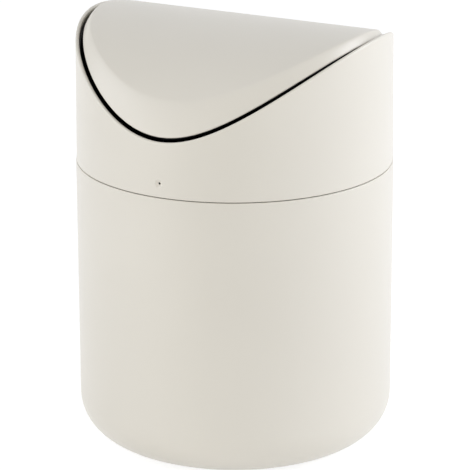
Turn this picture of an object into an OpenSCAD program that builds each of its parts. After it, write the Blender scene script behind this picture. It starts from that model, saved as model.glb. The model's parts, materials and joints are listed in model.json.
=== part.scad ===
// Countertop bin with a swing lid: a drawn steel can, a lift-off hood cut to a saddle,
// and an arched lid that rocks both ways on two short pins. Front is -Y, pins lie along X.

/* [Can] */
// Outer diameter of the can
body_d = 120; // [100:1:150]
// Height of the can from its steel bottom to its mouth
body_h = 108.5; // [80:0.1:150]
// Radius of the rounded bottom edge
bottom_r = 15.6; // [8:0.1:20]
// Thickness of the steel sheet in can, hood and lid
sheet_t = 0.5; // [0.4:0.05:0.7]
// Depth of the folded hems along the steel edges
hem_h = 3; // [2:0.1:4]
// Width of the flat steel edge round the raised panel of the bottom
panel_edge = 2.9; // [2:0.1:8]
// How far the bottom panel is raised
panel_h = 2; // [1.5:0.1:3]

/* [Base] */
// How far the foot ring holds the steel off the worktop
foot_h = 1; // [0.6:0.1:2]
// Distance of the foot ring from the edge of the recess
foot_inset = 2.5; // [1.5:0.1:8]
// Width of the foot ring
foot_w = 4; // [2.5:0.5:6]
// Depth of the groove that holds the foot ring
foot_groove = 1.2; // [0.8:0.1:1.3]
// Step from the base plate's underside to the foot ring's underside
foot_proud = 0.5; // [0.3:0.1:0.6]
// Gap between the base plate and the steel round it
plate_gap = 0.1; // [0.05:0.05:0.3]

/* [Hood] */
// Gap between the can's edge and the hood's edge
seam_gap = 0.2; // [0.1:0.05:0.4]
// How far the hood's lower edge stands in from the can's face
hood_step = 0.2; // [0:0.05:0.5]
// How far the hood narrows from its lower edge to the top of its saddle
hood_draft = 0.5; // [0:0.1:2]
// Height of the hood at its front, below the saddle's dip
hood_front_h = 18.8; // [14:0.1:26]
// Depth of the saddle cut from its top to its dip
saddle_dip = 34; // [24:0.1:36]
// Thickness of the rolled edge along the saddle
roll_t = 1.4; // [1.4:0.05:1.6]
// Height of the locking dimples above the hem
dimple_rise = 2.2; // [1.8:0.1:4]
// Radius of the punch that presses the dimples
dimple_r = 1.9; // [1.2:0.1:2.5]
// Depth of the dimples
dimple_depth = 0.7; // [0.4:0.05:0.9]
// Number of dimples round the hood
dimple_count = 3; // [2:1:6]

/* [Inner ring] */
// Wall of the plastic ring
ring_t = 1.3; // [1:0.1:1.5]
// Depth of the skirt that plugs into the can
skirt_h = 13; // [8:0.5:20]
// Gap between the skirt and the can's hem
skirt_gap = 0.3; // [0.1:0.05:0.4]
// Gap between the ring and the steel hood
ring_gap = 0.15; // [0.1:0.05:0.3]
// How far the pivot ears stand in from the hood's edge
ear_reach = 5.4; // [4.4:0.1:5.8]
// Wall of the pivot ears round their bushes
ear_t = 0.95; // [0.7:0.05:1.1]
// Width of the stop below each ear
stop_w = 5.6; // [3:0.1:6.5]
// Height of the stop below the pin
stop_h = 13; // [10:0.5:20]

/* [Lid] */
// Gap between the lid's rim and the hood's hem
lid_gap = 1.45; // [1.4:0.05:3]
// Depth of the lid's arch from its ridge to its front
arch_dip = 29.9; // [20:0.1:32]
// How far the lid's ridge stands above the hood's saddle
lid_rise = 1.4; // [0.5:0.05:3]
// Drop of the rim below the arch at the pins
side_fall = 3.4; // [1:0.1:4]
// Drop of the rim below the arch at front and back
front_fall = 6.2; // [1:0.1:7]
// Width of the steeper band along the rim, at front and back
band_w = 5.5; // [4:0.5:12]
// Width of the steeper band at the pins
side_band_w = 2.5; // [2:0.5:6]
// Distance over which the arch bends into the band
band_bend = 2; // [1:0.5:5]
// Height of the upright lip at the rim
lip_h = 0.5; // [0.3:0.1:0.8]
// Wall of the lid's plastic carrier
carrier_t = 1.3; // [1:0.1:2]
// Gap between the carrier and the steel rim
carrier_gap = 0.2; // [0.1:0.05:0.4]
// Depth of the carrier's rim
carrier_rim = 3; // [2:0.1:4]
// Least gap between the carrier's arch and the steel above its edge
carrier_lift_gap = 0.25; // [0.15:0.05:0.6]
// How far the lid leans on its pins at rest, front up, in degrees
lid_lean = 4; // [0:0.5:6]

/* [Pivots] */
// Distance of the pins below the lid's ridge
pivot_drop = 7.4; // [6:0.05:8.5]
// Diameter of the pins
pin_d = 3; // [2.4:0.1:3.2]
// Running clearance round a pin in its bush
pin_clear = 0.05; // [0.02:0.01:0.08]
// Wall of the bushes
bush_t = 0.9; // [0.7:0.05:1]
// Thickness of a bush's flange
flange_t = 0.4; // [0.3:0.05:0.5]
// End play between a bush and the carrier
end_play = 0.2; // [0.1:0.05:0.4]
// Length of the carrier's pin bosses
boss_l = 4.5; // [3:0.1:6]
// How far a pin's head stands out round the pin
head_lip = 0.9; // [0.5:0.1:1.2]
// Thickness of the pin heads
head_t = 0.8; // [0.5:0.1:1.2]
// Gap round what is pressed into plastic
press_gap = 0.02; // [0.01:0.01:0.03]

/* [Hidden] */
$fn = 96;
paint = [0.87, 0.85, 0.81];
black = [0.10, 0.10, 0.11];
dark_rubber = [0.16, 0.16, 0.16];
acetal = [0.88, 0.88, 0.84];
bright_steel = [0.70, 0.70, 0.72];
body_r = body_d / 2;
mouth_z = foot_h + body_h;
panel_r = body_r - bottom_r - panel_edge;
foot_r = panel_r - foot_inset;
hood_z = mouth_z + seam_gap;
hood_r = body_r - hood_step;
hood_top_r = hood_r - hood_draft;
hood_h = hood_front_h + saddle_dip;
saddle_z = hood_z + hood_h;
saddle_r = arc_radius(hood_r, saddle_dip);
lid_r = hood_top_r - roll_t - lid_gap;
lid_z = saddle_z + lid_rise;
lid_arch_r = arc_radius(lid_r, arch_dip);
arch_z = lid_z - lid_arch_r;
pivot_z = lid_z - pivot_drop;
dimple_z = hem_h + dimple_rise;
plate_r = panel_r - plate_gap;
plate_top = foot_h + panel_h - plate_gap;
skirt_r = body_r - 2 * sheet_t - skirt_gap;
seat_z = hood_z + hem_h + ring_gap;
ear_out = hood_top_r - roll_t - 2 * ring_gap;
ear_in = hood_top_r - ear_reach;
boss_out = ear_in - flange_t - end_play;
boss_in = boss_out - boss_l;
carrier_r = lid_r - 2 * sheet_t - carrier_gap;
carrier_arch_r = arc_radius(carrier_r, cover_z(carrier_r, 0, sheet_t) - cover_z(carrier_r, 90, sheet_t));
carrier_top = min([for (a = [0 : 15 : 90]) cover_z(carrier_r, a, sheet_t) + sag(carrier_r * sin(a), carrier_arch_r)])
    - carrier_lift_gap;
bush_r = pin_d / 2 + pin_clear + bush_t;
ear_r = bush_r + ear_t;
notch_w = 4 * ear_r;
far = 2 * body_d;
// How far a cut runs past the solid
past = 1;

// Radius of an arc by its half width and its depth
function arc_radius(half_w, depth) = (half_w * half_w + depth * depth) / (2 * depth);
// Radius of the hood's outer face at a height
function hood_face(z) = hood_r + (hood_top_r - hood_r) * (z - hood_z) / hood_h;
// Depth of an arc of a radius below its top, at a distance from its middle
function sag(y, r) = r - sqrt(r * r - y * y);
// Height of an arch of a given radius about the lid's arch line
function arch(y, r) = arch_z + r - sag(y, r);
// Depth of the bend at a distance into the band
function bend(u) = sqrt(u * u + band_bend * band_bend) - band_bend;
// Width of the band at an angle
function band(a) = side_band_w + (band_w - side_band_w) * pow(sin(a), 2);
// Share of the rim's fall at a distance from the middle and an angle
function fall(r, a) = bend(max(0, r - lid_r + band(a))) / bend(band(a));
// Drop of the rim below the arch at an angle
function rim_drop(a) = side_fall + (front_fall - side_fall) * pow(sin(a), 2);
function cover_z(r, a, t) = arch(r * sin(a), lid_arch_r - t) - (rim_drop(a) - lip_h) * fall(r, a);
function lip_z(a) = arch(lid_r * sin(a), lid_arch_r) - rim_drop(a);
function on_ring(r, z, a) = [r * cos(a), r * sin(a), z];
// Distance from the middle, where a share of 1 lies at the fold line and one of 2 at the edge
function cover_r(f, edge, a) = min(f, 1) * (lid_r - band(a)) + max(0, f - 1) * (edge - lid_r + band(a));
function cover_point(f, edge, a, t) = on_ring(cover_r(f, edge, a), cover_z(cover_r(f, edge, a), a, t), a);

// Solid of the can's outline, rounded at its lower edge
module can_outline(r, z0, z1, edge_r) {
    translate([0, z0 + edge_r])
        square([r, z1 - z0 - edge_r]);
    translate([0, z0])
        square([r - edge_r, edge_r]);
    translate([r - edge_r, z0 + edge_r])
        circle(edge_r);
}

// Everything under an arch that runs along X, given by its radius and its top
module under_arch(r, top) {
    translate([0, 0, top - r])
        rotate([0, 90, 0])
            cylinder(r = r, h = far, center = true);
}

// Everything under the saddle cut, lowered by a depth
module under_saddle(depth) {
    under_arch(saddle_r, saddle_z - depth);
}

// Tapered plug of the hood, at a depth below its outer face
module hood_plug(depth, z0, z1) {
    rotate_extrude()
        polygon([
            [0, z0],
            [hood_face(z0) - depth, z0],
            [hood_face(z1) - depth, z1],
            [0, z1]
        ]);
}

// Short rod along X from one distance to another
module rod(x0, x1, r) {
    translate([x0, 0, pivot_z])
        rotate([0, 90, 0])
            cylinder(r = r, h = x1 - x0);
}

// Places its children at every dimple, the first one at the front
module at_dimples() {
    for (i = [0 : dimple_count - 1])
        rotate([0, 0, i * 360 / dimple_count - 90])
            translate([hood_face(hood_z + dimple_z) + dimple_r - dimple_depth, 0, hood_z + dimple_z])
                children();
}

// Leans its children on the pins, front up, as the lid rests
module leaning() {
    translate([0, 0, pivot_z])
        rotate([-lid_lean, 0, 0])
            translate([0, 0, -pivot_z])
                children();
}

// The other side's copy of a piece on +X
module left_side() {
    mirror([1, 0, 0])
        children();
}

// Drawn can with a hemmed mouth and a raised bottom panel
module body_shell() {
    color(paint)
        rotate_extrude() {
            difference() {
                can_outline(body_r, foot_h, mouth_z - sheet_t, bottom_r);
                difference() {
                    can_outline(body_r - sheet_t, foot_h + sheet_t, mouth_z, bottom_r - sheet_t);
                    square([panel_r + sheet_t, foot_h + panel_h + sheet_t]);
                }
                square([panel_r, foot_h + panel_h]);
            }
            translate([body_r - 2 * sheet_t, mouth_z - hem_h])
                square([sheet_t, hem_h - sheet_t]);
            translate([body_r - sheet_t, mouth_z - sheet_t])
                circle(sheet_t);
        }
}

// Plastic plate pressed into the recess of the bottom, grooved for the foot ring
module base_plate() {
    color(black)
        difference() {
            translate([0, 0, foot_proud])
                cylinder(r = plate_r, h = plate_top - foot_proud);
            translate([0, 0, foot_proud - past])
                difference() {
                    cylinder(r = foot_r + press_gap, h = foot_groove + past);
                    cylinder(r = foot_r - foot_w - press_gap, h = foot_groove + past);
                }
            translate([0, 0, -past])
                cylinder(r = foot_r - 3 * foot_w, h = foot_proud + foot_groove / 2 + past);
        }
}

// Soft ring that the bin stands on
module foot_ring() {
    color(dark_rubber)
        difference() {
            cylinder(r = foot_r, h = foot_proud + foot_groove);
            translate([0, 0, -past])
                cylinder(r = foot_r - foot_w, h = foot_proud + foot_groove + 2 * past);
        }
}

// Steel hood, cut to a saddle, hemmed along both edges and dimpled to hold the ring
module hood_shell() {
    color(paint)
        difference() {
            union() {
                difference() {
                    intersection() {
                        hood_plug(0, hood_z, saddle_z + past);
                        under_saddle(0);
                    }
                    hood_plug(roll_t, hood_z - past, saddle_z + 2 * past);
                    hood_plug(2 * sheet_t, hood_z - past, hood_z + 2 * hem_h);
                    intersection() {
                        hood_plug(sheet_t, hood_z + hem_h, saddle_z);
                        under_saddle(hem_h);
                    }
                }
                intersection() {
                    at_dimples()
                        sphere(dimple_r + sheet_t);
                    cylinder(r = hood_face(hood_z + dimple_z) - sheet_t / 2, h = far);
                }
            }
            at_dimples()
                sphere(dimple_r);
        }
}

// Plastic ring inside the hood: skirt, saddle wall, pivot ears and lid stops
module hood_ring() {
    color(black)
        difference() {
            union() {
                intersection() {
                    rotate_extrude()
                        polygon([
                            [skirt_r - ring_t, mouth_z - skirt_h],
                            [skirt_r - ring_t / 2, mouth_z - skirt_h],
                            [skirt_r, mouth_z - skirt_h + ring_t],
                            [skirt_r, seat_z],
                            [hood_face(seat_z) - sheet_t - ring_gap, seat_z],
                            [hood_face(saddle_z) - sheet_t - ring_gap, saddle_z],
                            [hood_face(saddle_z) - sheet_t - ring_gap - ring_t, saddle_z],
                            [hood_face(seat_z) - sheet_t - ring_gap - ring_t, seat_z + ring_t],
                            [skirt_r - ring_t, seat_z]
                        ]);
                    under_saddle(hem_h + ring_gap);
                }
                ear_and_stop();
                left_side()
                    ear_and_stop();
            }
            rod(-far, far, bush_r + press_gap);
            at_dimples()
                sphere(dimple_r + sheet_t + ring_gap);
        }
}

// Ear for the bush, and under it the stop that the lid's carrier meets
module ear_and_stop() {
    rod(ear_in, ear_out, ear_r);
    translate([0, stop_w / 2, 0])
        rotate([90, 0, 0])
            linear_extrude(stop_w)
                polygon([
                    [ear_in, pivot_z],
                    [ear_out, pivot_z],
                    [ear_out, pivot_z - stop_h],
                    [ear_in, pivot_z - stop_h + ear_out - ear_in]
                ]);
}

// Flanged plastic bush on +X
module bush() {
    color(acetal)
        difference() {
            union() {
                rod(ear_in - flange_t, ear_in, ear_r - flange_t);
                rod(ear_in, ear_out, bush_r);
            }
            rod(-far, far, pin_d / 2 + pin_clear);
        }
}

module bush_right() {
    bush();
}

module bush_left() {
    left_side()
        bush();
}

// Headed steel pin on +X, pushed outwards through the carrier into its bush
module pin() {
    color(bright_steel)
        union() {
            rod(boss_in - head_t, boss_in, pin_d / 2 + head_lip);
            rod(boss_in, ear_out - flange_t, pin_d / 2);
        }
}

module pin_right() {
    pin();
}

module pin_left() {
    left_side()
        pin();
}

// Pressed steel lid: an arch with a steeper band and a short upright lip
module lid_cover() {
    spokes = 72;
    turn = 360 / spokes;
    hem_in = lid_r - 2 * sheet_t;
    stops = [0.3, 0.6, 0.85, 1, 1.15, 1.3, 1.5, 1.75, 2];
    rows = [
        for (f = stops) [for (i = [0 : spokes - 1]) cover_point(f, lid_r, i * turn, 0)],
        [for (i = [0 : spokes - 1]) on_ring(lid_r, lip_z(i * turn), i * turn)],
        [for (i = [0 : spokes - 1]) on_ring(hem_in, lip_z(i * turn), i * turn)],
        for (k = [len(stops) - 1 : -1 : 0])
            [for (i = [0 : spokes - 1]) cover_point(stops[k], hem_in, i * turn, sheet_t)]
    ];
    points = [for (row = rows) each row, [0, 0, lid_z], [0, 0, lid_z - sheet_t]];
    top = len(rows) * spokes;
    faces = [
        for (k = [0 : len(rows) - 2], i = [0 : spokes - 1])
            let (j = (i + 1) % spokes, p = k * spokes, q = p + spokes)
                each [[p + i, q + i, p + j], [p + j, q + i, q + j]],
        for (i = [0 : spokes - 1])
            let (j = (i + 1) % spokes, p = (len(rows) - 1) * spokes)
                each [[top, i, j], [top + 1, p + j, p + i]]
    ];
    color(paint)
        leaning()
            polyhedron(points, [for (f = faces) [f[2], f[1], f[0]]], convexity = 6);
}

// Plastic carrier under the lid: arched skin, deeper rim, pin bosses and notches for the ears
module lid_carrier() {
    color(black)
        leaning()
            difference() {
                union() {
                    difference() {
                        carrier_disc();
                        under_arch(carrier_arch_r, carrier_top - carrier_t);
                    }
                    difference() {
                        carrier_disc();
                        under_arch(carrier_arch_r, carrier_top - carrier_rim);
                        cylinder(r = carrier_r - carrier_t, h = far);
                    }
                    boss_block();
                    left_side()
                        boss_block();
                }
                ear_notch();
                left_side()
                    ear_notch();
                rod(-far, far, pin_d / 2 + press_gap);
            }
}

// Round plug under the carrier's arch, as wide as the carrier
module carrier_disc() {
    intersection() {
        translate([0, 0, mouth_z])
            cylinder(r = carrier_r, h = far);
        under_arch(carrier_arch_r, carrier_top);
    }
}

// Boss for the pin, joined to the arched skin by a rib as wide as itself
module boss_block() {
    rod(boss_in, boss_out, ear_r);
    intersection() {
        translate([boss_in, -ear_r, pivot_z])
            cube([boss_l, 2 * ear_r, pivot_drop]);
        under_arch(carrier_arch_r, carrier_top);
    }
}

// Clearance in the carrier's rim for the ear and the bush
module ear_notch() {
    translate([boss_out, -notch_w / 2, mouth_z])
        cube([far, notch_w, far]);
}

body_shell();
base_plate();
foot_ring();
hood_shell();
hood_ring();
bush_left();
bush_right();
lid_cover();
lid_carrier();
pin_left();
pin_right();
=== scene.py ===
import json
import math

import bmesh
import bpy
import mathutils
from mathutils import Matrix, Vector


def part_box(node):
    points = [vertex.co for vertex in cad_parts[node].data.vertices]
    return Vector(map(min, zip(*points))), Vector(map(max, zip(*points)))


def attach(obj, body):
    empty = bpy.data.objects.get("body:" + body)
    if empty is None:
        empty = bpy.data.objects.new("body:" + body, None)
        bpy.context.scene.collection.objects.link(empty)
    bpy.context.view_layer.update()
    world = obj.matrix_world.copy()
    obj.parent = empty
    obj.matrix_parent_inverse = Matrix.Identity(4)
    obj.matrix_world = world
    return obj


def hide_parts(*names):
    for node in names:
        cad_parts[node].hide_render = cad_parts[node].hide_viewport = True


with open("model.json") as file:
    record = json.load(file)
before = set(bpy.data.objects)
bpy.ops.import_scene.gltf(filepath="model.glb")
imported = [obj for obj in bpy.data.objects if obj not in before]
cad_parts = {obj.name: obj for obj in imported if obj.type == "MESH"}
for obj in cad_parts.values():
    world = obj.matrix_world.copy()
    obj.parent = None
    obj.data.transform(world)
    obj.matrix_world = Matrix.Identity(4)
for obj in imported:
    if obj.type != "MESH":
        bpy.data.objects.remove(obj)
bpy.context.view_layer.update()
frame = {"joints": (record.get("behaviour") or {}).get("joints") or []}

# Can: one deep-drawn steel cup. Its mouth is folded inwards into a hem, and its bottom is pressed up into a
# flat panel that leaves a recess for the base plate. It is powder-coated warm white inside and out.
MM = 0.001
merge_gap = 0.001 * MM
can_low, can_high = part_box("body_shell")
can_radius = can_high.x
can_sheet = 0.5 * MM
can_hem = 3 * MM
can_bottom_round = 15.6 * MM
can_panel_radius = 41.5 * MM
can_panel_rise = 2 * MM
can_press_round = 0.8 * MM
can_lip_round = 0.35 * MM
can_fold_round = 0.15 * MM
can_spokes = 256


def rounded(corners, pieces=6, hold=0.25 * MM, span=4 * MM):
    """Outline through rounded corners (r, z, radius), with more points that hold its straights flat."""
    points = [mathutils.Vector(corners[0][:2])]

    def run_to(end):
        start = points[-1]
        length = (end - start).length
        if length < merge_gap:
            return
        parts = int(length / span + 1)
        marks = [hold, length - hold] if length > 3 * hold else []
        marks += [length * i / parts for i in range(1, parts)]
        points.extend(start.lerp(end, mark / length) for mark in sorted(marks))
        points.append(end)

    for before, corner, after in zip(corners, corners[1:], corners[2:]):
        tip = mathutils.Vector(corner[:2])
        back = (mathutils.Vector(before[:2]) - tip).normalized()
        ahead = (mathutils.Vector(after[:2]) - tip).normalized()
        if corner[2] == 0:
            run_to(tip)
            continue
        half = back.angle(ahead) / 2
        middle = tip + (back + ahead).normalized() * corner[2] / math.sin(half)
        first, last = (tip + way * corner[2] / math.tan(half) for way in (back, ahead))
        run_to(first)
        turn = (first - middle).angle_signed(last - middle)
        for i in range(1, pieces + 1):
            points.append(middle + mathutils.Matrix.Rotation(-turn * i / pieces, 2) @ (first - middle))
    run_to(mathutils.Vector(corners[-1][:2]))
    return points


def piece_from(name, shape, smooth=False):
    """Object with the faces of a finished bmesh, all turned outwards."""
    bmesh.ops.recalc_face_normals(shape, faces=shape.faces)
    mesh = bpy.data.meshes.new(name)
    shape.to_mesh(mesh)
    shape.free()
    mesh.polygons.foreach_set("use_smooth", [smooth] * len(mesh.polygons))
    made = bpy.data.objects.new(name, mesh)
    bpy.context.collection.objects.link(made)
    return made


def spun(name, section_at, angles, closed=False):
    """Object turned round Z: section_at(angle) gives its outline in (r, z), as many points at every angle."""
    shape = bmesh.new()
    rows = []
    for angle in angles:
        turn = math.cos(angle), math.sin(angle)
        rows.append([shape.verts.new((r * turn[0], r * turn[1], z)) for r, z in section_at(angle)])
    count = len(rows[0])
    for row, next_row in zip(rows, rows[1:] + rows[:1]):
        for i in range(count if closed else count - 1):
            j = (i + 1) % count
            shape.faces.new((row[i], row[j], next_row[j], next_row[i]))
    bmesh.ops.remove_doubles(shape, verts=shape.verts, dist=merge_gap)
    return piece_from(name, shape, smooth=True)


def even_angles(count):
    return [2 * math.pi * i / count for i in range(count)]


def add(tree, kind, feeds=None, **settings):
    """Adds a node, sets its options, and links or sets its inputs, given by name or number."""
    made = tree.nodes.new(kind)
    for key, value in settings.items():
        setattr(made, key, value)
    for key, value in (feeds or {}).items():
        if isinstance(value, bpy.types.NodeSocket):
            tree.links.new(value, made.inputs[key])
        else:
            made.inputs[key].default_value = value
    return made


def maths(tree, operation, *values):
    return add(tree, "ShaderNodeMath", dict(enumerate(values)), operation=operation).outputs[0]


def mixed(tree, share, first, second):
    """Colour that goes from the first to the second as the share goes from 0 to 1."""
    return add(tree, "ShaderNodeMix", {0: share, 6: first, 7: second}, data_type="RGBA").outputs[2]


def spread(tree, noise, low, high):
    """Value that goes from low to high over the middle of a noise, which seldom leaves 0.3 to 0.7."""
    return add(tree, "ShaderNodeMapRange", {
        "Value": noise, "From Min": 0.3, "From Max": 0.7, "To Min": low, "To Max": high}).outputs[0]


def new_group(name, kind, inputs, outputs):
    """Node group with named sockets: inputs are (name, type, value), outputs (name, type)."""
    tree = bpy.data.node_groups.new(name, kind)
    for label, socket, value in inputs:
        made = tree.interface.new_socket(label, in_out="INPUT", socket_type=socket)
        if value is not None:
            made.default_value = value
    for label, socket in outputs:
        tree.interface.new_socket(label, in_out="OUTPUT", socket_type=socket)
    return tree, tree.nodes.new("NodeGroupInput").outputs, tree.nodes.new("NodeGroupOutput").inputs


def new_material(name, **constants):
    """Material, its tree and its shader, whose sockets are set by name, with underscores for spaces."""
    made = bpy.data.materials.new(name)
    made.use_nodes = True
    shader = made.node_tree.nodes["Principled BSDF"]
    for key, value in constants.items():
        shader.inputs[key.replace("_", " ")].default_value = value
    return made, made.node_tree, shader


def grain_group():
    """Fine surface grain: a height for Bump and a mask that drifts slowly over the surface."""
    tree, given, out = new_group(
        "surface_grain", "ShaderNodeTree",
        [("Grain size", "NodeSocketFloat", 0.8 * MM), ("Drift size", "NodeSocketFloat", 40 * MM),
         ("Sharpness", "NodeSocketFloat", 0.5)],
        [("Height", "NodeSocketFloat"), ("Drift", "NodeSocketFloat")])
    place = add(tree, "ShaderNodeTexCoord").outputs["Object"]
    fine = maths(tree, "DIVIDE", 1, given["Grain size"])
    broad = maths(tree, "DIVIDE", 1, given["Drift size"])
    grain = add(tree, "ShaderNodeTexNoise",
                {"Vector": place, "Scale": fine, "Detail": 3, "Roughness": given["Sharpness"]})
    drift = add(tree, "ShaderNodeTexNoise", {"Vector": place, "Scale": broad, "Detail": 1})
    tree.links.new(grain.outputs[0], out["Height"])
    tree.links.new(drift.outputs[0], out["Drift"])
    return tree


surface_grain = grain_group()


def grained(material, tree, shader, light, dark, roughness, grain, drift, depth, sharpness=0.5):
    """Feeds a material from the grain: colour and gloss drift a little, and the surface is finely bumped."""
    made = add(tree, "ShaderNodeGroup", node_tree=surface_grain)
    made.inputs["Grain size"].default_value = grain
    made.inputs["Drift size"].default_value = drift
    made.inputs["Sharpness"].default_value = sharpness
    tree.links.new(mixed(tree, made.outputs["Drift"], dark, light), shader.inputs["Base Color"])
    tree.links.new(spread(tree, made.outputs["Height"], *roughness), shader.inputs["Roughness"])
    bump = add(tree, "ShaderNodeBump", {"Height": made.outputs["Height"], "Strength": 1.0, "Distance": depth})
    tree.links.new(bump.outputs[0], shader.inputs["Normal"])
    return material


paint = grained(
    *new_material("warm_white_powder_coat", Specular_IOR_Level=0.5, Coat_Weight=0.25, Coat_Roughness=0.3),
    light=(0.803, 0.768, 0.690, 1), dark=(0.768, 0.733, 0.657, 1), roughness=(0.34, 0.42),
    grain=0.9 * MM, drift=45 * MM, depth=0.004 * MM)

can_mouth = can_high.z
can_foot = can_low.z
can_inner = can_radius - can_sheet
can_lip = can_inner - can_sheet
can_panel = can_foot + can_panel_rise
can_outline = rounded([
    (0, can_panel, 0),
    (can_panel_radius, can_panel, can_press_round / 2),
    (can_panel_radius, can_foot, can_press_round),
    (can_radius, can_foot, can_bottom_round),
    (can_radius, can_mouth, can_lip_round),
    (can_lip, can_mouth, can_lip_round),
    (can_lip, can_mouth - can_hem, can_fold_round),
    (can_inner, can_mouth - can_hem, can_fold_round),
    (can_inner, can_foot + can_sheet, can_bottom_round - can_sheet),
    (can_panel_radius + can_sheet, can_foot + can_sheet, can_press_round / 2),
    (can_panel_radius + can_sheet, can_panel + can_sheet, can_press_round),
    (0, can_panel + can_sheet, 0),
], pieces=12)
can = spun("drawn_steel_can", lambda angle: can_outline, even_angles(can_spokes))
can.data.materials.append(paint)
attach(can, "can")
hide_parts("body_shell")

# Base plate and foot ring: a black polypropylene plate, ribbed round its gate, is pressed into the recess of
# the can's bottom. A soft rubber ring is pushed into the plate's groove. The bin stands on its two treads.
plate_low, plate_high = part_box("base_plate")
foot_low, foot_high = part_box("foot_ring")
plate_radius = plate_high.x
foot_radius = foot_high.x
foot_width = 4 * MM
plate_fit = 0.02 * MM
plate_edge_round = 0.25 * MM
plate_recess_radius = 27 * MM
plate_recess = 0.6 * MM
gate_radius = 1.6 * MM
gate_depth = 0.25 * MM
foot_edge_round = 0.5 * MM
foot_root_round = 0.15 * MM
tread_depth = 0.35 * MM
tread_width = 1.2 * MM
tread_round = 0.2 * MM
base_spokes = 192

black_plastic = grained(
    *new_material("black_moulded_plastic", Specular_IOR_Level=0.5),
    light=(0.014, 0.014, 0.015, 1), dark=(0.008, 0.008, 0.009, 1), roughness=(0.42, 0.58),
    grain=0.35 * MM, drift=20 * MM, depth=0.012 * MM, sharpness=0.7)
rubber = grained(
    *new_material("soft_black_rubber", Specular_IOR_Level=0.35),
    light=(0.030, 0.029, 0.028, 1), dark=(0.019, 0.018, 0.018, 1), roughness=(0.68, 0.86),
    grain=0.6 * MM, drift=12 * MM, depth=0.02 * MM, sharpness=0.6)

plate_foot = plate_low.z
plate_gate = plate_foot + plate_recess
groove_in = foot_radius - foot_width - plate_fit
groove_out = foot_radius + plate_fit
plate_outline = rounded([
    (0, plate_gate + gate_depth, 0),
    (gate_radius - gate_depth, plate_gate + gate_depth, gate_depth / 2),
    (gate_radius, plate_gate, gate_depth / 2),
    (plate_recess_radius, plate_gate, plate_edge_round),
    (plate_recess_radius, plate_foot, plate_edge_round),
    (groove_in, plate_foot, plate_edge_round),
    (groove_in, foot_high.z, plate_edge_round / 2),
    (groove_out, foot_high.z, plate_edge_round / 2),
    (groove_out, plate_foot, plate_edge_round),
    (plate_radius, plate_foot, plate_edge_round),
    (plate_radius, plate_high.z, plate_edge_round),
    (0, plate_high.z, 0),
], pieces=4, hold=0.1 * MM)
foot_middle = foot_radius - foot_width / 2
foot_outline = rounded([
    (foot_radius - foot_width, foot_high.z, foot_root_round),
    (foot_radius - foot_width, foot_low.z, foot_edge_round),
    (foot_middle - tread_width / 2, foot_low.z, tread_round),
    (foot_middle - tread_width / 2 + tread_depth, foot_low.z + tread_depth, foot_root_round),
    (foot_middle + tread_width / 2 - tread_depth, foot_low.z + tread_depth, foot_root_round),
    (foot_middle + tread_width / 2, foot_low.z, tread_round),
    (foot_radius, foot_low.z, foot_edge_round),
    (foot_radius, foot_high.z, foot_root_round),
    (foot_radius - foot_width, foot_high.z, foot_root_round),
    (foot_radius - foot_width, foot_low.z, 0),
], pieces=5, hold=0.1 * MM)[1:-1]

plate_rib_inset = 0.1 * MM
plate_rib_sizes = {
    "Count": 16,
    "Inner radius": 4 * MM,
    "Outer radius": plate_recess_radius,
    "Width": 1.0 * MM,
    "Foot height": plate_foot + plate_rib_inset,
    "Root height": plate_gate + plate_rib_inset,
}


def shape_group(name, sizes, output):
    """Geometry node group whose inputs are a piece's sizes (whole numbers are counts) and its finish."""
    inputs = [(label, "NodeSocketInt" if isinstance(value, int) else "NodeSocketFloat", value)
              for label, value in sizes.items()]
    return new_group(name, "GeometryNodeTree", inputs + [("Finish", "NodeSocketMaterial", None)],
                     [(output, "NodeSocketGeometry")])


def radial_rib_tree():
    """Ribs of a moulded plate: bars that run out from its gate and taper to half their width."""
    tree, given, out = shape_group("radial_ribs", plate_rib_sizes, "Ribs")
    length = maths(tree, "SUBTRACT", given["Outer radius"], given["Inner radius"])
    height = maths(tree, "SUBTRACT", given["Root height"], given["Foot height"])
    size = add(tree, "ShaderNodeCombineXYZ", {0: length, 1: given["Width"], 2: height})
    bar = add(tree, "GeometryNodeMeshCube", {"Size": size.outputs[0], "Vertices X": 12, "Vertices Y": 3})
    place = add(tree, "ShaderNodeSeparateXYZ", {0: add(tree, "GeometryNodeInputPosition").outputs[0]}).outputs
    along = maths(tree, "ADD", maths(tree, "DIVIDE", place[0], length), 0.5)
    narrow = maths(tree, "MULTIPLY_ADD", along, -0.5, 1.0)
    shift = add(tree, "ShaderNodeCombineXYZ", {
        0: maths(tree, "MULTIPLY_ADD", along, length, given["Inner radius"]),
        1: maths(tree, "MULTIPLY", place[1], narrow),
        2: maths(tree, "ADD", place[2], maths(tree, "MULTIPLY_ADD", height, 0.5, given["Foot height"]))})
    moved = add(tree, "GeometryNodeSetPosition", {"Geometry": bar.outputs[0], "Position": shift.outputs[0]})
    spots = add(tree, "GeometryNodeMeshLine", {"Count": given["Count"], "Offset": (0, 0, 0)})
    step = maths(tree, "DIVIDE", 2 * math.pi, given["Count"])
    turn = maths(tree, "MULTIPLY", add(tree, "GeometryNodeInputIndex").outputs[0], step)
    turned = add(tree, "ShaderNodeCombineXYZ", {2: turn})
    ribs = add(tree, "GeometryNodeInstanceOnPoints", {
        "Points": spots.outputs[0], "Instance": moved.outputs[0], "Rotation": turned.outputs[0]})
    real = add(tree, "GeometryNodeRealizeInstances", {"Geometry": ribs.outputs[0]})
    dressed = add(tree, "GeometryNodeSetMaterial", {"Geometry": real.outputs[0], "Material": given["Finish"]})
    tree.links.new(dressed.outputs[0], out["Ribs"])
    return tree


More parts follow.
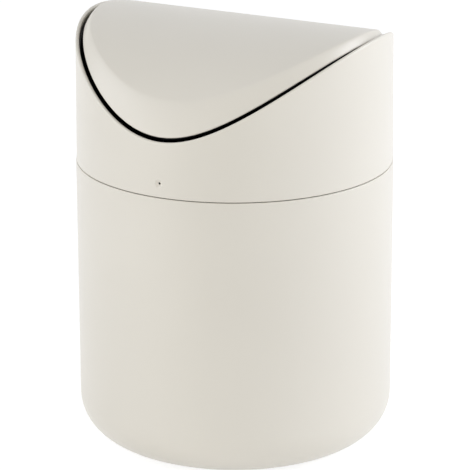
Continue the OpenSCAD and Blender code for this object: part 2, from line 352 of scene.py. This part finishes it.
def grown(name, tree, values):
    """Plain mesh object from a geometry node tree and its named input values."""
    seed = bpy.data.objects.new(name, bpy.data.meshes.new(name + "_seed"))
    bpy.context.collection.objects.link(seed)
    modifier = seed.modifiers.new("rule", "NODES")
    modifier.node_group = tree
    for item in tree.interface.items_tree:
        if item.in_out == "INPUT" and item.name in values:
            modifier[item.identifier] = values[item.name]
    graph = bpy.context.evaluated_depsgraph_get()
    mesh = bpy.data.meshes.new_from_object(seed.evaluated_get(graph))
    seed.modifiers.clear()
    mesh.name = name
    seed.data = mesh
    shape = bmesh.new()
    shape.from_mesh(mesh)
    bmesh.ops.recalc_face_normals(shape, faces=shape.faces)
    shape.to_mesh(mesh)
    shape.free()
    return seed


def joined(piece, *others):
    """Adds the meshes of other objects to a piece and removes those objects."""
    shape = bmesh.new()
    for part in (piece, *others):
        shape.from_mesh(part.data)
    shape.to_mesh(piece.data)
    shape.free()
    for part in others:
        bpy.data.objects.remove(part)
    return piece


base_plate = joined(
    spun("ribbed_base_plate", lambda angle: plate_outline, even_angles(base_spokes)),
    grown("base_plate_ribs", radial_rib_tree(), {**plate_rib_sizes, "Finish": black_plastic}))
base_plate.data.materials.clear()
base_plate.data.materials.append(black_plastic)
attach(base_plate, "can")
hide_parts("base_plate")

foot_ring = spun("treaded_foot_ring", lambda angle: foot_outline, even_angles(base_spokes), closed=True)
foot_ring.data.materials.append(rubber)
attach(foot_ring, "can")
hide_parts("foot_ring")

# Hood: a rolled and welded steel band in the same finish, cut to a saddle whose sides rise round the lid. The
# saddle's edge is rolled inwards, and the lower edge is folded into a hem. Three punched dimples lock it to
# the plastic ring inside. A small hole in the middle of each dimple lets the black ring show through: painted
# shade that stands in for the shade at the bottom of the dimple.
hood_low, hood_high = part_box("hood_shell")
hood_sheet = 0.5 * MM
hood_hem = 3 * MM
hood_roll = 1.4 * MM
hood_foot_round = 0.3 * MM
hood_draft = 0.5 * MM
hood_radius = hood_high.x
saddle_dip = 34 * MM
saddle_radius = (hood_radius ** 2 + saddle_dip ** 2) / (2 * saddle_dip)
dimple_height = 5.2 * MM
dimple_punch = 1.9 * MM
dimple_depth = 0.7 * MM
dimple_reach = 2 * MM
dimple_shade_hole = 0.45 * MM
dimple_soften = 0.06 * MM
dimple_steps = 12
hood_steps = 12
hood_spokes = 256
dimple_angles = [math.radians(a) for a in (-90, 30, 150)]


def hood_face(z):
    """Radius of the hood's outer face, which narrows a little towards its top."""
    return hood_radius - hood_draft * (z - hood_low.z) / (hood_high.z - hood_low.z)


def saddle(r, angle):
    """Height of the saddle cut over a point of the plan."""
    y = r * math.sin(angle)
    return hood_high.z - saddle_radius + math.sqrt(saddle_radius ** 2 - y * y)


def dimple(angle, z, punch=dimple_punch, soften=dimple_soften):
    """How far a round punch presses the face in at a place on the hood, with the dimple's edge softened."""
    apart = min(abs((angle - a + math.pi) % (2 * math.pi) - math.pi) for a in dimple_angles)
    away = math.hypot(apart * hood_radius, z - hood_low.z - dimple_height)
    if away >= dimple_reach:
        return 0
    sunk = dimple_depth - punch + math.sqrt(max(punch * punch - away * away, 0))
    return (sunk + math.hypot(sunk, soften)) / 2


def hem_round(face, z, width, rise, pieces=8):
    """Half oval of a rolled hem above a height, from the outer face inwards."""
    half = width / 2
    turns = [math.pi / 2 * (1 - 2 * i / pieces) for i in range(pieces + 1)]
    return [(face - half + half * math.sin(t), z + rise * math.cos(t)) for t in turns]


def hood_section(angle):
    """Section of the hood at an angle: up its face, over the rolled edge, and down inside to the hem."""
    rim = saddle(hood_face(hood_high.z) - hood_roll / 2, angle) - hood_roll / 2
    foot = hood_low.z + hood_foot_round
    fold = hood_low.z + hood_hem
    dimple_z = hood_low.z + dimple_height
    fine = [dimple_z + dimple_reach * (i / dimple_steps - 1) for i in range(2 * dimple_steps + 1)]
    steps = [i / hood_steps for i in range(1, hood_steps + 1)]
    tall = [fine[-1] + (rim - hood_sheet - fine[-1]) * step for step in steps]
    outer = [foot + hood_sheet, *fine, *tall, rim]
    points = [(hood_face(z) - dimple(angle, z), z) for z in outer]
    points += hem_round(hood_face(rim), rim, hood_roll, hood_roll / 2)
    under = rim - hood_hem + hood_roll / 2
    points += [(hood_face(under) - hood_roll, under), (hood_face(under) - hood_sheet, under)]
    inner = [under + (fine[-1] - under) * step for step in steps] + fine[-2::-1] + [fold]
    points += [(hood_face(z) - hood_sheet - dimple(angle, z), z) for z in inner]
    points += [(hood_face(fold) - 2 * hood_sheet, fold)]
    bottom = hem_round(hood_face(foot), foot, 2 * hood_sheet, hood_foot_round)
    return points + [(r, 2 * foot - z) for r, z in reversed(bottom)]


hood_angles = sorted(even_angles(hood_spokes) + [
    (a + dimple_reach / hood_radius * (i / dimple_steps - 1)) % (2 * math.pi)
    for a in dimple_angles for i in range(2 * dimple_steps + 1)])


def pierced_for_painted_shade(piece, radius):
    """Opens a round hole through both skins in the middle of every dimple, where the black ring shows as
    painted shade.
    """
    shape = bmesh.new()
    shape.from_mesh(piece.data)
    middle = hood_low.z + dimple_height
    for angle in dimple_angles:
        out = mathutils.Vector((math.cos(angle), math.sin(angle), 0))
        across = mathutils.Vector((-math.sin(angle), math.cos(angle), 0))

        def off(vert):
            return math.hypot(vert.co.dot(across), vert.co.z - middle)

        inside = [v for v in shape.verts if v.co.dot(out) > hood_radius / 2 and off(v) < radius]
        bmesh.ops.delete(shape, geom=inside, context="VERTS")
        rim = [e for e in shape.edges if e.is_boundary]
        for vert in {v for e in rim for v in e.verts}:
            closer = radius / off(vert) - 1
            vert.co += across * vert.co.dot(across) * closer
            vert.co.z += (vert.co.z - middle) * closer
        bmesh.ops.bridge_loops(shape, edges=rim)
    bmesh.ops.recalc_face_normals(shape, faces=shape.faces)
    shape.to_mesh(piece.data)
    shape.free()
    return piece


# The holes let the black ring show as painted shade in the middle of each dimple.
hood = pierced_for_painted_shade(spun("saddle_cut_hood", hood_section, hood_angles, closed=True), dimple_shade_hole)
hood.data.materials.append(paint)
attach(hood, "hood")
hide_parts("hood_shell")

# Hood ring: one black moulding that carries the hood. Its skirt plugs into the can's mouth, and its wall
# follows the saddle behind the steel. On each side an ear holds a bush above the stop that ends the swing.
ring_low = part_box("hood_ring")[0]
ring_wall = 1.3 * MM
ring_gap = 0.15 * MM
ring_edge_round = 0.3 * MM
skirt_radius = 58.7 * MM
ear_in = 53.9 * MM
ear_out = 57.6 * MM
ear_radius = 3.4 * MM
bush_radius = 2.45 * MM
bush_bore = 1.55 * MM
bush_flange = 0.4 * MM
stop_width = 5.6 * MM
stop_height = 13 * MM
moulding_round = 0.3 * MM
pocket_reach = 1.76 * MM
pocket_soften = 0.01 * MM
pocket_steps = 8
pivot_spokes = 64
lid_pivot = next(j["pos_m"][2] for j in frame["joints"] if j["name"] == "lid_swing")

seat = hood_low.z + hood_hem + ring_gap
skirt_lead = ring_low.z


def ring_section(angle):
    """Section of the ring at an angle, with pockets in its wall for the hood's dimples."""
    wall_at_top = hood_face(hood_high.z) - hood_sheet - ring_gap
    top = saddle(wall_at_top, angle) - hood_hem - ring_gap
    wall = hood_face(top) - hood_sheet - ring_gap
    wall_at_seat = hood_face(seat) - hood_sheet - ring_gap
    outline = rounded([
        (skirt_radius - ring_wall, seat, ring_edge_round),
        (skirt_radius - ring_wall, skirt_lead, ring_edge_round),
        (skirt_radius - ring_wall / 2, skirt_lead, ring_edge_round),
        (skirt_radius, skirt_lead + ring_wall, ring_edge_round),
        (skirt_radius, seat, ring_edge_round / 2),
        (wall_at_seat, seat, ring_edge_round / 2),
        (wall, top, ring_edge_round),
        (wall - ring_wall, top, ring_edge_round),
        (wall_at_seat - ring_wall, seat + ring_wall, ring_edge_round),
        (skirt_radius - ring_wall, seat, ring_edge_round),
        (skirt_radius - ring_wall, skirt_lead, 0),
    ], pieces=3, hold=0.1 * MM, span=60 * MM)[1:-1]
    dimple_z = hood_low.z + dimple_height
    fine = [dimple_z + pocket_reach * (i / pocket_steps - 1) for i in range(2 * pocket_steps + 1)]
    rise = next(i for i in range(1, len(outline)) if outline[i - 1][1] < fine[0] and outline[i][1] > fine[-1])
    behind = hood_sheet + ring_gap
    pockets = [
        (hood_face(z) - behind - dimple(angle, z, punch=dimple_punch + behind, soften=pocket_soften), z)
        for z in fine]
    return outline[:rise] + pockets + outline[rise:]


def on_pins(piece, mirrored=False):
    """Lays a piece that was spun round Z along the pins' line, on +X or, mirrored, on -X."""
    side = -1 if mirrored else 1
    piece.data.transform(mathutils.Matrix.Translation((0, 0, lid_pivot))
                         @ mathutils.Matrix.Rotation(side * math.pi / 2, 4, "Y"))
    return piece


def ear(name, mirrored):
    """Thick round ring of the moulding on the pins' line, bored for a bush."""
    outline = rounded([
        (bush_radius, ear_in, moulding_round / 2),
        (ear_radius, ear_in, moulding_round),
        (ear_radius, ear_out, moulding_round),
        (bush_radius, ear_out, moulding_round / 2),
        (bush_radius, ear_in, moulding_round / 2),
        (ear_radius, ear_in, 0),
    ], pieces=4, hold=0.1 * MM)[1:-1]
    return on_pins(spun(name, lambda angle: outline, even_angles(pivot_spokes), closed=True), mirrored)


def block(name, corners, width, edge_round):
    """Block across X whose side view has these corners (x, z), with all its edges rounded."""
    shape = bmesh.new()
    sides = [[shape.verts.new((x, y, z)) for x, z in corners] for y in (-width / 2, width / 2)]
    shape.faces.new(sides[0])
    shape.faces.new(sides[1][::-1])
    for i in range(len(corners)):
        j = (i + 1) % len(corners)
        shape.faces.new((sides[0][i], sides[1][i], sides[1][j], sides[0][j]))
    bmesh.ops.bevel(shape, geom=shape.edges[:], offset=edge_round, segments=3, affect="EDGES", profile=0.5)
    return piece_from(name, shape)


def stop(name, side):
    """Block under an ear, with a sloping foot, that the rim of the turned lid meets."""
    top = lid_pivot - bush_radius - moulding_round
    foot = lid_pivot - stop_height
    corners = [(ear_in, top), (ear_out, top), (ear_out, foot), (ear_in, foot + ear_out - ear_in)]
    return block(name, [(side * x, z) for x, z in corners], stop_width, moulding_round)


hood_ring = joined(
    spun("saddled_hood_ring", ring_section, hood_angles, closed=True),
    ear("ear_right", False), ear("ear_left", True), stop("stop_right", 1), stop("stop_left", -1))
hood_ring.data.materials.append(black_plastic)
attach(hood_ring, "hood")
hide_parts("hood_ring")

# Bushes: two flanged acetal sleeves pushed into the ears from the inside, so that the steel pins run on a
# plastic that wears well. They are left in the resin's own off-white.
acetal = grained(
    *new_material("natural_acetal", Specular_IOR_Level=0.5, Coat_Weight=0.0),
    light=(0.80, 0.79, 0.74, 1), dark=(0.74, 0.73, 0.68, 1), roughness=(0.30, 0.42),
    grain=0.25 * MM, drift=6 * MM, depth=0.003 * MM)
bush_edge_round = 0.15 * MM
bush_step_round = 0.08 * MM
bush_lead_round = 0.3 * MM
flange_radius = ear_radius - bush_flange
bush_outline = rounded([
    (bush_bore, ear_in - bush_flange, bush_edge_round),
    (flange_radius, ear_in - bush_flange, bush_edge_round),
    (flange_radius, ear_in, bush_step_round),
    (bush_radius, ear_in, bush_step_round),
    (bush_radius, ear_out, bush_lead_round),
    (bush_bore, ear_out, bush_edge_round),
    (bush_bore, ear_in - bush_flange, bush_edge_round),
    (flange_radius, ear_in - bush_flange, 0),
], pieces=4, hold=0.05 * MM)[1:-1]
for node_name, mirrored in (("bush_right", False), ("bush_left", True)):
    sleeve = spun("flanged_" + node_name, lambda angle: bush_outline, even_angles(pivot_spokes), closed=True)
    bush = on_pins(sleeve, mirrored)
    bush.data.materials.append(acetal)
    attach(bush, "hood")
    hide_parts(node_name)

# Lid carrier: the black moulding inside the lid. Its skin follows the steel's arch, and its deeper rim fits
# inside the steel's fold and is notched for the ears. A boss on each side takes a pin. Ribs stiffen the skin.
carrier_radius = 55.25 * MM
carrier_wall = 1.3 * MM
carrier_rim = 3 * MM
carrier_arch = 64.02 * MM
carrier_top = lid_pivot + 5.04 * MM
carrier_round = 0.3 * MM
notch_x = 53.3 * MM
notch_half = 6.8 * MM
notch_rim = carrier_wall + 0.01 * MM
notch_turn = math.atan2(notch_half, notch_x)
notch_step = 0.002
boss_length = 4.5 * MM
boss_spokes = 72
carrier_spokes = 192
skin_shares = [0.02, 0.1, 0.2, 0.3, 0.4, 0.5, 0.6, 0.7, 0.8, 0.88, 0.95]
pin_radius = 1.5 * MM
lid_lean = math.radians(4)
leaning = (mathutils.Matrix.Translation((0, 0, lid_pivot)) @ mathutils.Matrix.Rotation(-lid_lean, 4, "X")
           @ mathutils.Matrix.Translation((0, 0, -lid_pivot)))
carrier_rib_sizes = {
    "Arch radius": carrier_arch - carrier_wall,
    "Arch top": carrier_top - carrier_wall,
    "Reach": carrier_radius - carrier_wall - 0.2 * MM,
    "Count": 5,
    "Spacing": 18 * MM,
    "Rib width": 0.9 * MM,
    "Rib depth": 1.8 * MM,
    "Root": 0.4 * MM,
}


def carrier_height(y):
    """Height of the top of the skin, which is arched from front to back."""
    return carrier_top - carrier_arch + math.sqrt(carrier_arch ** 2 - y * y)


def carrier_section(angle):
    """Skin from the middle to the rim and back along its underside, without the rim at the ears' notches."""
    notched = abs(math.sin(angle)) * notch_x < notch_half * abs(math.cos(angle)) * (1 - notch_step / 2)
    edge = notch_x / abs(math.cos(angle)) if notched else carrier_radius
    depth = notch_rim if notched else carrier_rim
    inner = edge - carrier_wall

    def on(r, below):
        return (r, carrier_height(r * math.sin(angle)) - below)

    points = [(0, carrier_top)] + [on(edge * s, 0) for s in skin_shares] + [on(edge - carrier_round, 0)]
    points += [on(edge - carrier_round * (1 - math.sin(t)), carrier_round * (1 - math.cos(t)))
               for t in (math.pi / 6, math.pi / 3, math.pi / 2)]
    points += [on(edge, depth - carrier_round), on(edge - carrier_round, depth)]
    points += [on(inner + carrier_round / 2, depth), on(inner, depth - carrier_round / 2)]
    points += [on(inner, carrier_wall)] + [on(inner * s, carrier_wall) for s in reversed(skin_shares)]
    return points + [(0, carrier_top - carrier_wall)]


def carrier_boss(name, side):
    """Boss round the pin's bore: round below, and carried up into the skin with straight sides."""
    shape = bmesh.new()
    rings = []
    inner, outer = notch_x - boss_length, notch_x
    root = carrier_top - carrier_wall / 2 - lid_pivot
    for x, flare, chamfer in (
            (inner, carrier_round / 3, carrier_round), (inner + carrier_round, 0, 0),
            (outer - carrier_round, 0, 0), (outer, carrier_round / 3, carrier_round)):
        bore, rim = [], []
        for angle in even_angles(boss_spokes):
            y, z = math.cos(angle), math.sin(angle)
            reach = ear_radius - chamfer
            if z > 0:
                reach = root / z if root * abs(y) < reach * z else reach / abs(y)
            rim.append(shape.verts.new((side * x, reach * y, lid_pivot + reach * z)))
            hole = pin_radius + flare
            bore.append(shape.verts.new((side * x, hole * y, lid_pivot + hole * z)))
        rings.append((bore, rim))
    for (bore, rim), (next_bore, next_rim) in zip(rings, rings[1:]):
        for i in range(boss_spokes):
            j = (i + 1) % boss_spokes
            shape.faces.new((rim[i], rim[j], next_rim[j], next_rim[i]))
            shape.faces.new((bore[j], bore[i], next_bore[i], next_bore[j]))
    for bore, rim in (rings[0], rings[-1]):
        for i in range(boss_spokes):
            j = (i + 1) % boss_spokes
            shape.faces.new((bore[i], bore[j], rim[j], rim[i]))
    return piece_from(name, shape)


def carrier_rib_tree():
    """Two crossed rows of ribs that follow the underside of an arch and end at its round rim."""
    tree, given, out = shape_group("carrier_ribs", carrier_rib_sizes, "Ribs")

    def calc(operation, *values):
        return maths(tree, operation, *values)

    def vector(x, y, z):
        return add(tree, "ShaderNodeCombineXYZ", {0: x, 1: y, 2: z}).outputs[0]

    place = add(tree, "ShaderNodeSeparateXYZ", {0: add(tree, "GeometryNodeInputPosition").outputs[0]}).outputs
    tall = calc("ADD", given["Rib depth"], given["Root"])
    first = calc("MULTIPLY", calc("MULTIPLY", calc("SUBTRACT", given["Count"], 1), given["Spacing"]), -0.5)
    rows = tree.nodes.new("GeometryNodeJoinGeometry")
    for lengthwise in (True, False):
        size = vector(given["Rib width"], 1, tall) if lengthwise else vector(1, given["Rib width"], tall)
        bar = add(tree, "GeometryNodeMeshCube", {
            "Size": size, "Vertices X": 3 if lengthwise else 24, "Vertices Y": 48 if lengthwise else 3})
        line = add(tree, "GeometryNodeMeshLine", {
            "Count": given["Count"],
            "Start Location": vector(first, 0, 0) if lengthwise else vector(0, first, 0),
            "Offset": vector(given["Spacing"], 0, 0) if lengthwise else vector(0, given["Spacing"], 0)})
        aside = place[0] if lengthwise else place[1]
        half = calc("SQRT", calc("SUBTRACT", calc("MULTIPLY", given["Reach"], given["Reach"]),
                                 calc("MULTIPLY", aside, aside)))
        reach = calc("MULTIPLY", half, 2)
        placed = add(tree, "GeometryNodeInstanceOnPoints", {
            "Points": line.outputs[0], "Instance": bar.outputs[0],
            "Scale": vector(1, reach, 1) if lengthwise else vector(reach, 1, 1)})
        tree.links.new(placed.outputs[0], rows.inputs[0])
    real = add(tree, "GeometryNodeRealizeInstances", {"Geometry": rows.outputs[0]})
    radius = given["Arch radius"]
    sag = calc("SUBTRACT", radius, calc("SQRT", calc("SUBTRACT", calc("MULTIPLY", radius, radius),
                                                     calc("MULTIPLY", place[1], place[1]))))
    hung = calc("SUBTRACT", calc("ADD", given["Arch top"], given["Root"]), calc("MULTIPLY", tall, 0.5))
    lift = vector(0, 0, calc("SUBTRACT", hung, sag))
    bent = add(tree, "GeometryNodeSetPosition", {"Geometry": real.outputs[0], "Offset": lift})
    dressed = add(tree, "GeometryNodeSetMaterial", {"Geometry": bent.outputs[0], "Material": given["Finish"]})
    tree.links.new(dressed.outputs[0], out["Ribs"])
    return tree


notch_angles = [(a + s * t) % (2 * math.pi) for a in (0, math.pi) for s in (-1, 1)
                for t in (notch_turn * (1 - notch_step), notch_turn)]
carrier = joined(
    spun("lid_carrier_moulding", carrier_section, sorted(even_angles(carrier_spokes) + notch_angles)),
    carrier_boss("boss_right", 1), carrier_boss("boss_left", -1),
    grown("carrier_ribs", carrier_rib_tree(), {**carrier_rib_sizes, "Finish": black_plastic}))
carrier.data.transform(leaning)
carrier.data.materials.clear()
carrier.data.materials.append(black_plastic)
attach(carrier, "lid")
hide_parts("lid_carrier")

# Lid: a disc of the same steel pressed to an arch, with a steeper band along its rim that ends in a rolled
# fold. It leans on its pins, front up. Geometry nodes shape both skins and the fold by the pressing's rule.
lid_sizes = {
    "Rim radius": 56.45 * MM,
    "Arch dip": 29.9 * MM,
    "Ridge height": lid_pivot + 7.4 * MM,
    "Front band": 5.5 * MM,
    "Side band": 2.5 * MM,
    "Band bend": 2 * MM,
    "Side fall": 3.4 * MM,
    "Front fall": 6.2 * MM,
    "Fold height": 0.6 * MM,
    "Sheet": 0.5 * MM,
    "Pivot height": lid_pivot,
    "Lean": -lid_lean,
    "Rings": 72,
    "Fold rings": 12,
    "Riser rings": 3,
    "Spokes": 257,
}


def lid_tree():
    """Steel lid: outer skin, rolled fold, short riser inside the fold, and inner skin, each a bent grid."""
    tree, given, out = shape_group("pressed_lid", lid_sizes, "Lid")

    def calc(operation, *values):
        return maths(tree, operation, *values)

    rim, dip, sheet, bend = given["Rim radius"], given["Arch dip"], given["Sheet"], given["Band bend"]
    squares = calc("ADD", calc("MULTIPLY", rim, rim), calc("MULTIPLY", dip, dip))
    arch_radius = calc("DIVIDE", squares, calc("MULTIPLY", dip, 2))
    arch_centre = calc("SUBTRACT", given["Ridge height"], arch_radius)
    hem_in = calc("SUBTRACT", rim, calc("MULTIPLY", sheet, 2))
    place = add(tree, "ShaderNodeSeparateXYZ", {0: add(tree, "GeometryNodeInputPosition").outputs[0]}).outputs
    along = calc("ADD", place[0], 0.5)
    turn = calc("MULTIPLY", calc("ADD", place[1], 0.5), 2 * math.pi)
    sine, cosine = calc("SINE", turn), calc("COSINE", turn)

    def to_front(side, front):
        """Value that goes from one at the pins to one at the front and back."""
        return calc("MULTIPLY_ADD", calc("MULTIPLY", sine, sine), calc("SUBTRACT", front, side), side)

    drop = calc("SUBTRACT", to_front(given["Side fall"], given["Front fall"]), given["Fold height"])
    band = to_front(given["Side band"], given["Front band"])
    flat = calc("SUBTRACT", rim, band)

    def bent(u):
        """Fall that starts in a soft bend and goes on straight."""
        return calc("SUBTRACT", calc("SQRT", calc("MULTIPLY_ADD", u, u, calc("MULTIPLY", bend, bend))), bend)

    def height(r, depth):
        """Height of the skin at a radius, or of a skin that lies at a depth below it."""
        y = calc("MULTIPLY", r, sine)
        radius = calc("SUBTRACT", arch_radius, depth)
        lift = calc("SQRT", calc("SUBTRACT", calc("MULTIPLY", radius, radius), calc("MULTIPLY", y, y)))
        into_band = calc("MAXIMUM", calc("SUBTRACT", r, flat), 0)
        fall = calc("DIVIDE", bent(into_band), bent(band))
        return calc("SUBTRACT", calc("ADD", arch_centre, lift), calc("MULTIPLY", drop, fall))

    def skin(r, z, rings):
        grid = add(tree, "GeometryNodeMeshGrid",
                   {"Size X": 1, "Size Y": 1, "Vertices X": rings, "Vertices Y": given["Spokes"]})
        spot = add(tree, "ShaderNodeCombineXYZ", {
            0: calc("MULTIPLY", r, cosine), 1: calc("MULTIPLY", r, sine), 2: z})
        return add(tree, "GeometryNodeSetPosition",
                   {"Geometry": grid.outputs[0], "Position": spot.outputs[0]}).outputs[0]

    # The fold starts where the skin's slope near the rim is square to the fold's own radius
    fold_r = calc("SUBTRACT", rim, sheet)
    slope = calc("DIVIDE", calc("SUBTRACT", height(fold_r, 0), height(rim, 0)), sheet)
    start = calc("ARCTAN2", 1, slope)
    skin_end = calc("MULTIPLY_ADD", calc("COSINE", start), sheet, fold_r)
    fold_z = calc("SUBTRACT", height(skin_end, 0), calc("MULTIPLY", calc("SINE", start), sheet))
    swing = calc("SUBTRACT", start, calc("MULTIPLY", along, calc("ADD", start, math.pi)))

    # Half of the rings lie over the flat of the arch, and half crowd into the band
    over_flat = calc("MULTIPLY", flat, calc("MINIMUM", calc("MULTIPLY", along, 2), 1))
    in_band = calc("MAXIMUM", calc("SUBTRACT", calc("MULTIPLY", along, 2), 1), 0)
    outer_r = calc("MULTIPLY_ADD", in_band, calc("SUBTRACT", skin_end, flat), over_flat)
    inner_r = calc("MULTIPLY_ADD", in_band, calc("SUBTRACT", hem_in, flat), over_flat)
    bead_r = calc("MULTIPLY_ADD", calc("COSINE", swing), sheet, fold_r)
    bead_z = calc("MULTIPLY_ADD", calc("SINE", swing), sheet, fold_z)
    riser_z = calc("MULTIPLY_ADD", along, calc("SUBTRACT", height(hem_in, sheet), fold_z), fold_z)
    parts = [
        skin(outer_r, height(outer_r, 0), given["Rings"]),
        skin(bead_r, bead_z, given["Fold rings"]),
        skin(hem_in, riser_z, given["Riser rings"]),
        skin(inner_r, height(inner_r, sheet), given["Rings"])]
    sheets = tree.nodes.new("GeometryNodeJoinGeometry")
    for part in parts:
        tree.links.new(part, sheets.inputs[0])
    closed = add(tree, "GeometryNodeMergeByDistance", {
        "Geometry": sheets.outputs[0], "Distance": 2 * merge_gap})
    down = add(tree, "ShaderNodeCombineXYZ", {2: calc("MULTIPLY", given["Pivot height"], -1)})
    up = add(tree, "ShaderNodeCombineXYZ", {2: given["Pivot height"]})
    leant = add(tree, "ShaderNodeCombineXYZ", {0: given["Lean"]})
    lowered = add(tree, "GeometryNodeTransform", {
        "Geometry": closed.outputs[0], "Translation": down.outputs[0]})
    hung = add(tree, "GeometryNodeTransform", {
        "Geometry": lowered.outputs[0], "Rotation": leant.outputs[0], "Translation": up.outputs[0]})
    smooth = add(tree, "GeometryNodeSetShadeSmooth", {"Geometry": hung.outputs[0]})
    real = add(tree, "GeometryNodeRealizeInstances", {"Geometry": smooth.outputs[0]})
    painted = add(tree, "GeometryNodeSetMaterial", {"Geometry": real.outputs[0], "Material": given["Finish"]})
    tree.links.new(painted.outputs[0], out["Lid"])
    return tree


lid = grown("pressed_lid", lid_tree(), {**lid_sizes, "Finish": paint})
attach(lid, "lid")
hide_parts("lid_cover")

# Pins: two headed steel pins, turned and left bright. Each is pushed outwards through its boss into the bush,
# so that the lid hangs between them.
pin_head = 0.8 * MM
pin_head_radius = 2.4 * MM
pin_head_round = 0.35 * MM
pin_neck_round = 0.1 * MM
pin_tip_round = 0.4 * MM
pin_tip = ear_out - bush_flange
boss_in = notch_x - boss_length
turning_scale = (9000, 60, 60)

turned_steel, steel_tree, steel_shader = new_material("turned_pin_steel", Metallic=1.0)
steel_place = add(steel_tree, "ShaderNodeTexCoord").outputs["Object"]
steel_rings = add(steel_tree, "ShaderNodeMapping", {"Vector": steel_place, "Scale": turning_scale})
steel_marks = add(steel_tree, "ShaderNodeTexNoise", {
    "Vector": steel_rings.outputs[0], "Scale": 1.0, "Detail": 2}).outputs[0]
steel_tint = mixed(steel_tree, steel_marks, (0.52, 0.52, 0.54, 1), (0.66, 0.66, 0.67, 1))
steel_bump = add(steel_tree, "ShaderNodeBump", {"Height": steel_marks, "Distance": 0.004 * MM})
steel_tree.links.new(steel_tint, steel_shader.inputs["Base Color"])
steel_tree.links.new(spread(steel_tree, steel_marks, 0.22, 0.36), steel_shader.inputs["Roughness"])
steel_tree.links.new(steel_bump.outputs[0], steel_shader.inputs["Normal"])

pin_outline = rounded([
    (0, boss_in - pin_head, 0),
    (pin_head_radius, boss_in - pin_head, pin_head_round),
    (pin_head_radius, boss_in, pin_neck_round),
    (pin_radius, boss_in, pin_neck_round),
    (pin_radius, pin_tip, pin_tip_round),
    (0, pin_tip, 0),
], pieces=5, hold=0.05 * MM)
for node_name, mirrored in (("pin_right", False), ("pin_left", True)):
    pin = on_pins(spun("turned_" + node_name, lambda angle: pin_outline, even_angles(pivot_spokes)), mirrored)
    pin.data.materials.append(turned_steel)
    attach(pin, "lid")
    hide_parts(node_name)

# Studio: a pale floor that runs out of sight and a white surround, both white to the camera and in
# reflections, while the light that they throw on the bin stays plain. The floor keeps a soft shadow. Five
# softboxes stand round the bin.
floor_size = 6.0
floor_grey = 0.92
floor_seen_grey = 0.35
floor_seen_glow = 0.84
surround_strength = 0.35
floor_end = floor_size / 2
floor_corners = [(x * floor_end, y * floor_end, 0) for x, y in ((-1, -1), (1, -1), (1, 1), (-1, 1))]
floor_mesh = bpy.data.meshes.new("studio_floor")
floor_mesh.from_pydata(floor_corners, [], [(0, 1, 2, 3)])
floor = bpy.data.objects.new("studio_floor", floor_mesh)
bpy.context.collection.objects.link(floor)


def seen_directly(tree):
    """1 for rays from the camera and for mirrored and clear ones, 0 for the light that the surface throws."""
    path = tree.nodes.new("ShaderNodeLightPath").outputs
    sharp = maths(tree, "MAXIMUM", path["Is Camera Ray"], path["Is Glossy Ray"])
    return maths(tree, "MAXIMUM", sharp, path["Is Transmission Ray"])


floor_material, floor_tree, floor_shader = new_material("pale_floor", Roughness=0.9, Specular_IOR_Level=0.0)
floor_seen = seen_directly(floor_tree)
floor_tint = mixed(floor_tree, floor_seen, (floor_grey,) * 3 + (1,), (floor_seen_grey,) * 3 + (1,))
floor_tree.links.new(floor_tint, floor_shader.inputs["Base Color"])
floor_shader.inputs["Emission Color"].default_value = (1, 1, 1, 1)
floor_glow = maths(floor_tree, "MULTIPLY", floor_seen, floor_seen_glow)
floor_tree.links.new(floor_glow, floor_shader.inputs["Emission Strength"])
floor_mesh.materials.append(floor_material)

world = bpy.data.worlds.new("studio_surround")
bpy.context.scene.world = world
world.use_nodes = True
world_tree = world.node_tree
surround = world_tree.nodes["Background"]
surround.inputs["Color"].default_value = (1, 1, 1, 1)
surround_light = add(world_tree, "ShaderNodeMix", {
    "Factor": seen_directly(world_tree), "A": surround_strength, "B": 1.0})
world_tree.links.new(surround_light.outputs[0], surround.inputs["Strength"])

lamp_distance = 1.2
lamp_size = 0.7
lamp_aim_height = 0.08


def softbox(name, azimuth, elevation, power, tint=(1, 1, 1)):
    """Square area lamp that looks at the bin's middle, its azimuth counted from the front to the right."""
    lamp = bpy.data.lights.new(name, "AREA")
    lamp.shape = "RECTANGLE"
    lamp.size = lamp.size_y = lamp_size
    lamp.energy = power
    lamp.color = tint
    made = bpy.data.objects.new(name, lamp)
    a, e = math.radians(azimuth), math.radians(elevation)
    away = mathutils.Vector((math.sin(a) * math.cos(e), -math.cos(a) * math.cos(e), math.sin(e)))
    made.location = away * lamp_distance + mathutils.Vector((0, 0, lamp_aim_height))
    made.rotation_euler = away.to_track_quat("Z", "Y").to_euler()
    bpy.context.collection.objects.link(made)
    return made


softbox("right_softbox", 117, 27, power=7.3, tint=(0.95, 0.98, 1.06))
softbox("near_right_softbox", 57, 8, power=3.0, tint=(1.02, 1, 0.94))
softbox("front_softbox", -33, 8, power=4.1, tint=(1.02, 1, 0.94))
softbox("left_softbox", -63, 27, power=2.9, tint=(0.93, 0.97, 1.08))
softbox("top_softbox", -33, 72, power=0.6)

camera_azimuth = math.radians(27.38)
camera_reach = 1.032
camera_height = 0.4159
aim_height = 0.0781
camera_roll = -0.0026
focal_pixels = 2841.9
image_pixels = 470
camera_data = bpy.data.cameras.new("camera")
camera = bpy.data.objects.new("camera", camera_data)
camera.location = (
    camera_reach * math.sin(camera_azimuth), -camera_reach * math.cos(camera_azimuth), camera_height)
look = camera.location - mathutils.Vector((0, 0, aim_height))
camera.rotation_euler = (
    look.to_track_quat("Z", "Y") @ mathutils.Quaternion((0, 0, 1), camera_roll)).to_euler()
camera_data.lens = focal_pixels * camera_data.sensor_width / image_pixels
bpy.context.collection.objects.link(camera)
bpy.context.scene.camera = camera
bpy.context.scene.view_settings.view_transform = "Standard"
